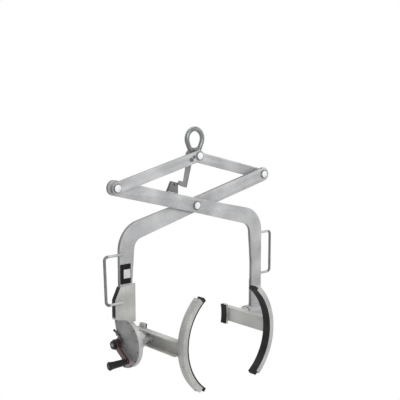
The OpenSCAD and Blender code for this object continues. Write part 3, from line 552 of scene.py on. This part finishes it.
def soften(node: str, body: Body, finish: Finish, width_mm: float, grain: Grain = Grain.EVEN,
           trim: Optional[Trim] = None,
           reshape: Optional[Callable[[bmesh.types.BMesh], None]] = None) -> bpy.types.Object:
    """Replaces a solid by a copy with broken edges.

    Args:
        node: The solid.
        body: The body that carries it.
        finish: Its surface.
        width_mm: Width of the broken edge.
        grain: Way that the surface was worked.
        trim: A second finish on some of its faces.
        reshape: A change to the copy before its edges are broken.

    Returns:
        The piece that stands for the solid.
    """
    bm = bmesh.new()
    bm.from_mesh(frame["nodes"][node].data)
    bmesh.ops.remove_doubles(bm, verts=bm.verts, dist=SAME_POINT)
    bmesh.ops.dissolve_limit(bm, angle_limit=math.radians(FLAT_DEG), verts=bm.verts,
                             edges=bm.edges)
    if reshape:
        reshape(bm)
    limit = math.radians(CORNER_DEG)
    corners = [e for e in bm.edges if e.is_manifold and e.calc_face_angle(0.0) > limit]
    bmesh.ops.bevel(bm, geom=corners, offset=width_mm * MM, offset_type="OFFSET",
                    segments=EDGE_ROWS, profile=EDGE_FULLNESS, affect="EDGES",
                    clamp_overlap=True, loop_slide=True)
    mesh = bpy.data.meshes.new(f"{node}_edged")
    bm.to_mesh(mesh)
    bm.free()
    shade(mesh, EDGED_CORNER_DEG)
    piece = place(f"{node}_edged", mesh, body, finish, grain, trim)
    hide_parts(node)
    return piece


def dress(nodes: Iterable[str], finish: Finish) -> None:
    """Gives solids that keep their shape a finish.

    Args:
        nodes: The solids.
        finish: Their surface.
    """
    for node in nodes:
        mesh = frame["nodes"][node].data
        mesh.materials.clear()
        mesh.materials.append(finish.material())
        LOG.info("%s is finished in %s", node, finish.name)


@dataclass
class WeldSeam:
    """A rippled weld bead laid along a path."""

    name: str
    body: Body
    path: Sequence[Vector]
    radius_mm: float = 3.2
    ripple_mm: float = 3.6
    ripple: float = 0.14
    per_ripple: int = 4
    tip_share: float = 0.45
    tip_growth: float = 0.25
    around: int = 8

    def samples(self) -> list[Vector]:
        """Spaces points evenly along the path, some to each ripple."""
        step = self.ripple_mm * MM / self.per_ripple
        points: list[Vector] = [Vector(self.path[0])]
        for start, end in zip(self.path, self.path[1:]):
            count = max(1, round((end - start).length / step))
            points += [start.lerp(end, i / count) for i in range(1, count + 1)]
        return points

    def build(self) -> bpy.types.Object:
        """Sweeps a rippled round along the path.

        Returns:
            The bead.
        """
        points = self.samples()
        last = len(points) - 1
        angles = [math.tau * k / self.around for k in range(self.around)]
        bm = bmesh.new()
        rings = []
        for i, point in enumerate(points):
            ahead = points[min(i + 1, last)] - points[max(i - 1, 0)]
            turn = ahead.to_track_quat("Z", "Y")
            taper = min(1.0, self.tip_share + self.tip_growth * min(i, last - i))
            wave = 1 + self.ripple * math.sin(i * math.tau / self.per_ripple)
            radius = self.radius_mm * MM * taper * wave
            ring = [Vector((radius * math.cos(a), radius * math.sin(a), 0)) for a in angles]
            rings.append([bm.verts.new(point + turn @ offset) for offset in ring])
        for first, second in zip(rings, rings[1:]):
            for k in range(self.around):
                n = (k + 1) % self.around
                bm.faces.new((first[k], first[n], second[n], second[k]))
        bm.faces.new(list(reversed(rings[0])))
        bm.faces.new(rings[-1])
        bmesh.ops.recalc_face_normals(bm, faces=bm.faces)
        mesh = bpy.data.meshes.new(self.name)
        bm.to_mesh(mesh)
        bm.free()
        shade(mesh, BEAD_CORNER_DEG)
        return place(self.name, mesh, self.body, WELD)


@dataclass
class LiftingEye:
    """The pear shaped eye, its pin and its rings."""

    pin_chamfer_mm: float = 1.2

    def build(self) -> None:
        """Dresses the eye and chamfers its pin."""
        dress(["lifting_eye"], EYE_STEEL)
        soften("top_pin", Body.EYE, BRIGHT, self.pin_chamfer_mm, Grain.ALONG_Y, PIN_SIDE)
        dress(["eye_spacers"], SILVER)
        dress(["pin_rings_eye"], LATCH_STEEL)


@dataclass
class Linkage:
    """The two links with the hold-open latch."""

    plate_edge_mm: float = 1.4
    latch_edge_mm: float = 0.7
    bolt_edge_mm: float = 0.4
    stop_edge_mm: float = 0.8

    def build(self) -> None:
        """Breaks the edges of the links, the latch, its bolt and its stop."""
        soften("left_link", Body.LEFT_LINK, SILVER, self.plate_edge_mm, Grain.RISING, SHADED_PLATE_RIM)
        soften("right_link", Body.RIGHT_LINK, SILVER, self.plate_edge_mm, Grain.FALLING, SHADED_PLATE_RIM)
        soften("latch_hook", Body.LATCH, LATCH_STEEL, self.latch_edge_mm, Grain.ALONG_Z, SHADED_PLATE_RIM)
        soften("latch_bolt", Body.LEFT_LINK, OILED, self.bolt_edge_mm)
        soften("latch_stop", Body.LEFT_LINK, OILED, self.stop_edge_mm)


@dataclass
class Arms:
    """The two bent arms with their pins, handles, foot plates and bearing."""

    plate_edge_mm: float = 1.6
    foot_edge_mm: float = 1.2
    pin_chamfer_mm: float = 1.2
    tube_edge_mm: float = 1.2
    rod_edge_mm: float = 0.6
    lip_low_mm: tuple[float, float] = (10.0, 27.0)
    lip_reach_mm: float = 0.5

    def lengthen_foot(self, bm: bmesh.types.BMesh) -> None:
        """Draws the lower edge of the left foot plate down to the gear case.

        Args:
            bm: The copy of the foot plate.
        """
        edge = [v for v in bm.verts if abs(v.co.z - FOOT_LEVEL) < self.lip_reach_mm * MM]
        first, last = min(v.co.x for v in edge), max(v.co.x for v in edge)
        at_first, at_last = self.lip_low_mm
        for v in edge:
            share = (v.co.x - first) / (last - first)
            v.co.z -= (at_first * (1 - share) + at_last * share) * MM
        bmesh.ops.bisect_plane(bm, geom=[*bm.verts, *bm.edges, *bm.faces],
                               plane_co=(0, 0, FOOT_LEVEL), plane_no=(0, 0, 1))

    def build(self) -> None:
        """Breaks the edges of the arms and dresses what is fixed to them."""
        for node, body in (("left_arm", Body.LEFT_ARM), ("right_arm", Body.RIGHT_ARM)):
            soften(node, body, SILVER, self.plate_edge_mm, trim=SHADED_PLATE_RIM)
        soften("left_foot_plate", Body.LEFT_ARM, WARM_SILVER, self.foot_edge_mm, Grain.ALONG_Z,
               BLACK_SIDE, self.lengthen_foot)
        soften("right_foot_plate", Body.RIGHT_ARM, SILVER, self.foot_edge_mm, Grain.ALONG_Z)
        for node, body in (("left_pivot_pin", Body.RIGHT_ARM), ("right_pivot_pin", Body.LEFT_ARM),
                           ("centre_pin", Body.RIGHT_ARM)):
            soften(node, body, BRIGHT, self.pin_chamfer_mm, Grain.ALONG_Y, PIN_SIDE)
        soften("catch_lug", Body.RIGHT_ARM, LATCH_STEEL, self.foot_edge_mm, trim=SHADED_LUG_SIDES)
        for node, body in (("left_handle", Body.LEFT_ARM), ("right_handle", Body.RIGHT_ARM)):
            soften(node, body, ROD, self.rod_edge_mm, trim=LIT_HANDLE_LEGS)
        dress(["left_pivot_spacer", "right_pivot_spacer"], SILVER)
        dress(["pin_rings_left_arm", "pin_rings_right_arm"], LATCH_STEEL)
        dress(["centre_washer", "far_bushes"], BRONZE)
        soften("far_bearing_tube", Body.RIGHT_ARM, SILVER, self.tube_edge_mm, Grain.ALONG_X)


@dataclass
class ArmWelds:
    """Weld seams of the handles, foot plates, far bearing and catch.

    Sizes are millimetres on the left leg, and heights count from the trunnion axis. The right leg
    is the left one turned half round. bead_out and bead_on_rod are shares of the bead's radius.
    """

    bead: float = 3.2
    bead_out: float = 0.35
    bead_on_rod: float = 0.4
    leg_out: float = 500.0
    leg_in: float = 422.0
    leg_front: float = 1.0
    leg_back: float = 19.0
    foot_front: float = -11.0
    foot_top: tuple[float, float] = (310.0, 302.0)
    foot_span: tuple[float, float] = (412.0, 506.0)
    handle_heights: tuple[float, float] = (468.0, 223.3)
    handle_span: float = 245.0
    rod_half: float = 5.2
    rod_start: float = 1.0
    rod_lap: float = 14.0
    low_rod: tuple[float, float] = (536.0, 498.0)
    stiff_span: tuple[float, float] = (430.0, 492.0)
    stiff_top: float = 200.0
    stiff_low: float = 46.0
    tube_heights: tuple[float, float] = (43.6, 40.8)
    case_span: tuple[float, float] = (428.0, 454.0)
    case_heights: tuple[float, float] = (108.6, 116.9)
    catch_at: float = 181.0
    catch_half: float = 36.0
    catch_up: float = 39.0
    centre_height: float = 676.0

    def rod_seam(self, start: float, end: float, face: float, height: float) -> list[Point]:
        """Runs a seam round the end of a rod that lies on a plate.

        Args:
            start: Place where the rod comes onto the plate.
            end: End of the rod.
            face: Front of the plate.
            height: Middle of the rod.

        Returns:
            Points of the seam.
        """
        y = face - self.bead * self.bead_on_rod
        tip = end - self.bead * self.bead_on_rod
        return [(-start, y, height + self.rod_half), (-tip, y, height + self.rod_half),
                (-tip, y, height - self.rod_half), (-start, y, height - self.rod_half)]

    def lay(self, name: str, body: Body, points: Sequence[Point], turned: bool = False) -> None:
        """Lays one seam.

        Args:
            name: Name of the piece.
            body: The arm that carries it.
            points: Points of the seam on the left leg.
            turned: Whether the seam goes to the right leg.
        """
        axis = joint_place("near_cradle_turn").z
        turn = Matrix.Rotation(math.pi if turned else 0.0, 4, "Z")
        path = [turn @ Vector((x * MM, y * MM, axis + z * MM)) for x, y, z in points]
        WeldSeam(name, body, path, self.bead).build()

    def build(self) -> None:
        """Lays the seams of both legs and of the catch."""
        out = self.bead * self.bead_out
        upper, lower = self.handle_heights
        rod_start, rod_end = self.leg_out - self.rod_start, self.leg_out - self.rod_lap
        first, last = self.foot_span
        slope = (self.foot_top[1] - self.foot_top[0]) / (last - first)
        self.lay("left_weld_foot", Body.LEFT_ARM,
                 [(-x, self.leg_front - out, self.foot_top[0] + slope * (x - first) + out)
                  for x in (self.leg_in + out, self.leg_out - out)])
        self.lay("left_weld_rod_over", Body.LEFT_ARM,
                 self.rod_seam(rod_start, rod_end, self.leg_front, upper))
        self.lay("left_weld_rod_under", Body.LEFT_ARM,
                 self.rod_seam(*self.low_rod, self.foot_front, lower))
        for label, y, z in (("front", self.foot_front - out, self.case_heights[0]),
                            ("back", self.leg_back + out, self.case_heights[1])):
            self.lay(f"left_weld_case_{label}", Body.LEFT_ARM,
                     [(-x, y, z + out) for x in self.case_span])
        for label, height in (("over", upper), ("under", upper - self.handle_span)):
            self.lay(f"right_weld_rod_{label}", Body.RIGHT_ARM,
                     self.rod_seam(rod_start, rod_end, self.leg_front, height), True)
        inner, outer = self.stiff_span
        self.lay("right_weld_plate", Body.RIGHT_ARM,
                 [(-x, self.leg_front - out, z) for x, z in (
                     (inner - out, self.stiff_low), (inner - out, self.stiff_top + out),
                     (outer + out, self.stiff_top + out), (outer + out, self.stiff_low))], True)
        for label, y, z in (("front", self.foot_front - out, self.tube_heights[0]),
                            ("back", self.leg_back + out, self.tube_heights[1])):
            self.lay(f"right_weld_tube_{label}", Body.RIGHT_ARM,
                     [(-x, y, z + out) for x in (inner + out, outer - out)], True)
        lean = Matrix.Rotation(math.radians(RISE_DEG), 4, "Y")
        ends = [lean @ Vector((-self.catch_at + side * self.catch_half, 0, self.catch_up))
                for side in (-1, 1)]
        for label, y in (("front", -self.leg_back - out / 2), ("back", -self.leg_front + out / 2)):
            self.lay(f"catch_weld_{label}", Body.RIGHT_ARM,
                     [(p.x, y, self.centre_height + p.z) for p in ends])


@dataclass
class BlankPlate:
    """The blank rating plate on the left leg, black with an empty pale panel."""

    width_mm: float = 66.0
    height_mm: float = 102.0
    thick_mm: float = 2.0
    corner_mm: float = 4.0
    centre_x_mm: float = -465.0
    above_foot_mm: float = 3.0
    panel_width_mm: float = 42.0
    panel_height_mm: float = 46.0
    panel_shift_mm: float = 9.0
    panel_lift: float = 0.9
    panel_thick: float = 0.4
    edge_share: float = 0.3
    steps: int = 6

    def outline(self, width: float, height: float, corner: float) -> list[tuple[float, float]]:
        """Draws a rectangle with round corners about its middle.

        Args:
            width: Width.
            height: Height.
            corner: Corner radius.

        Returns:
            Points in order.
        """
        points = []
        for sx, sz, start in ((1, 1, 0), (-1, 1, 90), (-1, -1, 180), (1, -1, 270)):
            for k in range(self.steps + 1):
                a = math.radians(start + 90 * k / self.steps)
                points.append((sx * (width / 2 - corner) + corner * math.cos(a),
                               sz * (height / 2 - corner) + corner * math.sin(a)))
        return points

    def slab(self, name: str, outline: list[tuple[float, float]], centre: Vector, thick: float,
             finish: Finish) -> bpy.types.Object:
        """Makes a thin plate with a broken front edge.

        Args:
            name: Name of the piece.
            outline: Outline in X and Z.
            centre: Middle of its back face.
            thick: Thickness towards the front.
            finish: Its surface.

        Returns:
            The plate.
        """
        bm = bmesh.new()
        back = [bm.verts.new(centre + Vector((x * MM, 0, z * MM))) for x, z in outline]
        face = bm.faces.new(back)
        made = bmesh.ops.extrude_face_region(bm, geom=[face])
        front = [v for v in made["geom"] if isinstance(v, bmesh.types.BMVert)]
        bmesh.ops.translate(bm, verts=front, vec=Vector((0, -thick * MM, 0)))
        bmesh.ops.recalc_face_normals(bm, faces=bm.faces)
        rim = [e for e in bm.edges if all(v in front for v in e.verts)]
        bmesh.ops.bevel(bm, geom=rim, offset=thick * MM * self.edge_share, segments=EDGE_ROWS,
                        affect="EDGES", clamp_overlap=True)
        mesh = bpy.data.meshes.new(name)
        bm.to_mesh(mesh)
        bm.free()
        shade(mesh)
        return place(name, mesh, Body.LEFT_ARM, finish)

    def build(self) -> None:
        """Fixes the plate on the leg just above the foot plate."""
        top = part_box("left_foot_plate")[1].z
        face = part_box("left_arm")[0].y
        height = top + (self.above_foot_mm + self.height_mm / 2) * MM
        centre = Vector((self.centre_x_mm * MM, face, height))
        plate = self.outline(self.width_mm, self.height_mm, self.corner_mm)
        panel = self.outline(self.panel_width_mm, self.panel_height_mm, self.corner_mm / 2)
        self.slab("blank_plate", plate, centre, self.thick_mm, BLACK_FINISH)
        lift = Vector((self.panel_shift_mm * MM, -self.thick_mm * MM * self.panel_lift, 0))
        self.slab("blank_panel", panel, centre + lift, self.thick_mm * self.panel_thick, PANEL)


@dataclass
class GearDrive:
    """The gear case, its cover, gears, bushes and lock pawl."""

    case_edge_mm: float = 1.6
    small_edge_mm: float = 0.5

    def build(self) -> None:
        """Breaks the edges of the castings and dresses what is inside."""
        soften("gear_case", Body.LEFT_ARM, CASE_SIDE, self.case_edge_mm)
        soften("gear_cover", Body.LEFT_ARM, CASTING, self.case_edge_mm)
        soften("cover_screws", Body.LEFT_ARM, OILED, self.small_edge_mm)
        soften("pawl_pin", Body.LEFT_ARM, OILED, self.small_edge_mm, Grain.ALONG_X)
        soften("pawl_stop", Body.LEFT_ARM, OILED, self.small_edge_mm, Grain.ALONG_X)
        soften("lock_pawl", Body.PAWL, OILED, self.small_edge_mm)
        dress(["pawl_knob"], PLASTIC)
        dress(["case_bushes"], BRONZE)
        dress(["drive_gear", "gear_key", "pinion"], BRIGHT)


@dataclass
class HandCrank:
    """The crank with its spinning grip."""

    arm_edge_mm: float = 1.2
    small_edge_mm: float = 0.8
    tooth_edge_mm: float = 0.4

    def build(self) -> None:
        """Breaks the edges of the crank, its ratchet wheel and its grip."""
        soften("crank_arm", Body.CRANK, CRANK_PAINT, self.arm_edge_mm, trim=CRANK_RIM)
        soften("crank_hub", Body.CRANK, PLASTIC, self.arm_edge_mm)
        soften("crank_shaft", Body.CRANK, LATCH_STEEL, self.small_edge_mm, Grain.ALONG_X)
        soften("ratchet_wheel", Body.CRANK, OILED, self.tooth_edge_mm)
        soften("grip_pin", Body.CRANK, OILED, self.small_edge_mm, Grain.ALONG_X)
        soften("crank_grip", Body.GRIP, PLASTIC, self.small_edge_mm)


@dataclass
class Cradle:
    """One rubber lined cradle with its beam, trunnion and welds."""

    side: Side
    edge_mm: float = 1.5
    screw_edge_mm: float = 0.5
    bolt_edge_mm: float = 0.75
    shaft_r_mm: float = 25.0
    bead_mm: float = 3.4
    bead_out: float = 0.3
    ring_steps: int = 48

    def build(self) -> None:
        """Breaks the edges of the cradle's steel and lays its welds."""
        near = self.side is Side.NEAR
        label = "near" if near else "far"
        body = Body.NEAR_CRADLE if near else Body.FAR_CRADLE
        grains = {"beam": Grain.ALONG_Y, "arc": Grain.ALONG_Z, "saddle": Grain.ALONG_Z}
        for node, grain in grains.items():
            soften(f"{label}_{node}", body, WARM_SILVER, self.edge_mm, grain)
        for node in ("arc_pad", "saddle_pad"):
            soften(f"{label}_{node}", body, RUBBER, self.edge_mm)
        soften(f"{label}_trunnion", body, BRIGHT, self.edge_mm, Grain.ALONG_X)
        soften(f"{label}_pad_screws", body, SILVER, self.screw_edge_mm)
        if not near:
            soften("far_end_plate", body, SILVER, self.edge_mm)
            soften("far_end_bolt", body, OILED, self.bolt_edge_mm)
        self.weld_beam(label, body)

    def weld_beam(self, label: str, body: Body) -> None:
        """Lays the seams over and under the beam's end and round the trunnion.

        Args:
            label: Start of the names of the pieces.
            body: The cradle's body.
        """
        low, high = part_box(f"{label}_beam")
        out = self.side.value
        back = high.x if out < 0 else low.x
        arc_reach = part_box(f"{label}_arc")[1 if out > 0 else 0].x
        axis = joint_place(f"{label}_cradle_turn")
        proud = self.bead_mm * MM * self.bead_out
        for name, z in (("over", high.z + proud), ("under", low.z - proud)):
            seam = [Vector((x, low.y + proud, z)) for x in (back, arc_reach)]
            WeldSeam(f"{label}_weld_{name}", body, seam, self.bead_mm).build()
        shaft_r = self.shaft_r_mm * MM
        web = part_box(f"{label}_trunnion")[1 if out < 0 else 0].x
        angles = [math.tau * k / self.ring_steps for k in range(self.ring_steps + 1)]
        ring = [Vector((web + out * proud, axis.y + shaft_r * math.cos(a),
                        axis.z + shaft_r * math.sin(a))) for a in angles]
        WeldSeam(f"{label}_weld_trunnion", body, ring, self.bead_mm).build()


@dataclass(frozen=True)
class SoftLight:
    """A square soft light that faces the tongs."""

    name: str
    place_m: Point
    size: float
    watts: float

    def hang(self) -> None:
        """Hangs the light and turns it to the middle of the tongs."""
        data = bpy.data.lights.new(self.name, "AREA")
        data.size = self.size
        data.energy = self.watts
        lamp = bpy.data.objects.new(self.name, data)
        lamp.location = self.place_m
        middle = (CAD_BOX[0] + CAD_BOX[1]) / 2
        lamp.rotation_euler = (middle - lamp.location).to_track_quat("-Z", "Y").to_euler()
        bpy.context.scene.collection.objects.link(lamp)


LIGHTS = (
    SoftLight("key_light", (-1.0, -3.9, 1.5), 2.2, 96.0),
    SoftLight("side_light", (3.4, -2.2, 0.9), 2.6, 16.0),
    SoftLight("top_light", (0.2, 0.6, 3.0), 2.4, 50.0),
)


@dataclass
class Studio:
    """Pale floor, even room light, soft lights and the camera."""

    camera_place: Point = (-2.737, -3.171, 0.172)
    camera_heading_deg: float = -41.2
    camera_pitch_deg: float = 7.4
    lens_mm: float = 70.05
    sensor_mm: float = 36.0
    view_reach: float = 100.0
    room_light: float = 0.45
    floor_drop: float = 0.8
    floor_tone: tuple[float, float, float, float] = (0.86, 0.86, 0.86, 1)
    floor_rough: float = 0.9
    floor_glow: tuple[float, float] = (0.35, 1.0)
    floor_white: tuple[float, float] = (0.4, 1.5)
    floor_radius: float = 14.0
    floor_sides: int = 96

    def camera(self) -> None:
        """Sets the camera where the photograph was taken from."""
        data = bpy.data.cameras.new("camera")
        data.lens = self.lens_mm
        data.sensor_width = self.sensor_mm
        data.clip_end = self.view_reach
        eye = bpy.data.objects.new("camera", data)
        eye.location = self.camera_place
        eye.rotation_euler = (math.radians(90 - self.camera_pitch_deg), 0,
                              math.radians(self.camera_heading_deg))
        bpy.context.scene.collection.objects.link(eye)
        bpy.context.scene.camera = eye

    def world(self) -> None:
        """Lights the room evenly and shows white behind the tongs."""
        world = bpy.data.worlds.new("studio")
        bpy.context.scene.world = world
        world.use_nodes = True
        tree = world.node_tree
        tree.nodes.clear()
        output = tree.nodes.new("ShaderNodeOutputWorld")
        light = tree.nodes.new("ShaderNodeBackground")
        light.inputs["Color"].default_value = WHITE
        light.inputs["Strength"].default_value = self.room_light
        white = tree.nodes.new("ShaderNodeBackground")
        white.inputs["Color"].default_value = WHITE
        path = tree.nodes.new("ShaderNodeLightPath")
        seen = path.outputs["Is Camera Ray"]
        for kind in ("Is Glossy Ray", "Is Transmission Ray"):
            either = tree.nodes.new("ShaderNodeMath")
            either.operation = "MAXIMUM"
            tree.links.new(seen, either.inputs[0])
            tree.links.new(path.outputs[kind], either.inputs[1])
            seen = either.outputs[0]
        mix = tree.nodes.new("ShaderNodeMixShader")
        tree.links.new(seen, mix.inputs["Fac"])
        tree.links.new(light.outputs["Background"], mix.inputs[1])
        tree.links.new(white.outputs["Background"], mix.inputs[2])
        tree.links.new(mix.outputs["Shader"], output.inputs["Surface"])

    def floor(self) -> None:
        """Lays a pale round floor under the tongs, white towards its rim."""
        bm = bmesh.new()
        bmesh.ops.create_circle(bm, cap_ends=True, segments=self.floor_sides,
                                radius=self.floor_radius)
        mesh = bpy.data.meshes.new("floor")
        bm.to_mesh(mesh)
        bm.free()
        floor = bpy.data.objects.new("floor", mesh)
        floor.location = (0, 0, CAD_BOX[0].z - self.floor_drop)
        bpy.context.scene.collection.objects.link(floor)
        sheet = NodeSheet("pale_floor")
        sheet.surface(base_color=self.floor_tone, roughness=self.floor_rough)
        tree = sheet.tree
        output = next(n for n in tree.nodes if n.type == "OUTPUT_MATERIAL")
        glow = tree.nodes.new("ShaderNodeEmission")
        path = tree.nodes.new("ShaderNodeLightPath")
        length = tree.nodes.new("ShaderNodeVectorMath")
        length.operation = "LENGTH"
        tree.links.new(sheet.coords.outputs["Object"], length.inputs[0])
        far = sheet.spread(length.outputs["Value"], *self.floor_glow, *self.floor_white)
        seen = path.outputs["Is Camera Ray"]
        for kind in ("Is Glossy Ray", "Is Transmission Ray"):
            seen = sheet.math("ADD", seen, path.outputs[kind])
        mix = tree.nodes.new("ShaderNodeMixShader")
        tree.links.new(sheet.math("MULTIPLY", far, seen), mix.inputs["Fac"])
        tree.links.new(sheet.shader.outputs["BSDF"], mix.inputs[1])
        tree.links.new(glow.outputs["Emission"], mix.inputs[2])
        tree.links.new(mix.outputs["Shader"], output.inputs["Surface"])
        mesh.materials.append(sheet.material)

    def build(self) -> None:
        """Sets up the floor, the lights and the camera."""
        bpy.context.scene.view_settings.view_transform = "Standard"
        self.camera()
        self.world()
        self.floor()
        for light in LIGHTS:
            light.hang()


def main() -> None:
    """Builds the tongs in order."""
    logging.basicConfig(level=logging.INFO, format="%(name)s: %(message)s")
    LiftingEye().build()
    Linkage().build()
    Arms().build()
    ArmWelds().build()
    BlankPlate().build()
    GearDrive().build()
    HandCrank().build()
    for side in Side:
        Cradle(side).build()
    Studio().build()


if __name__ == "__main__":
    main()
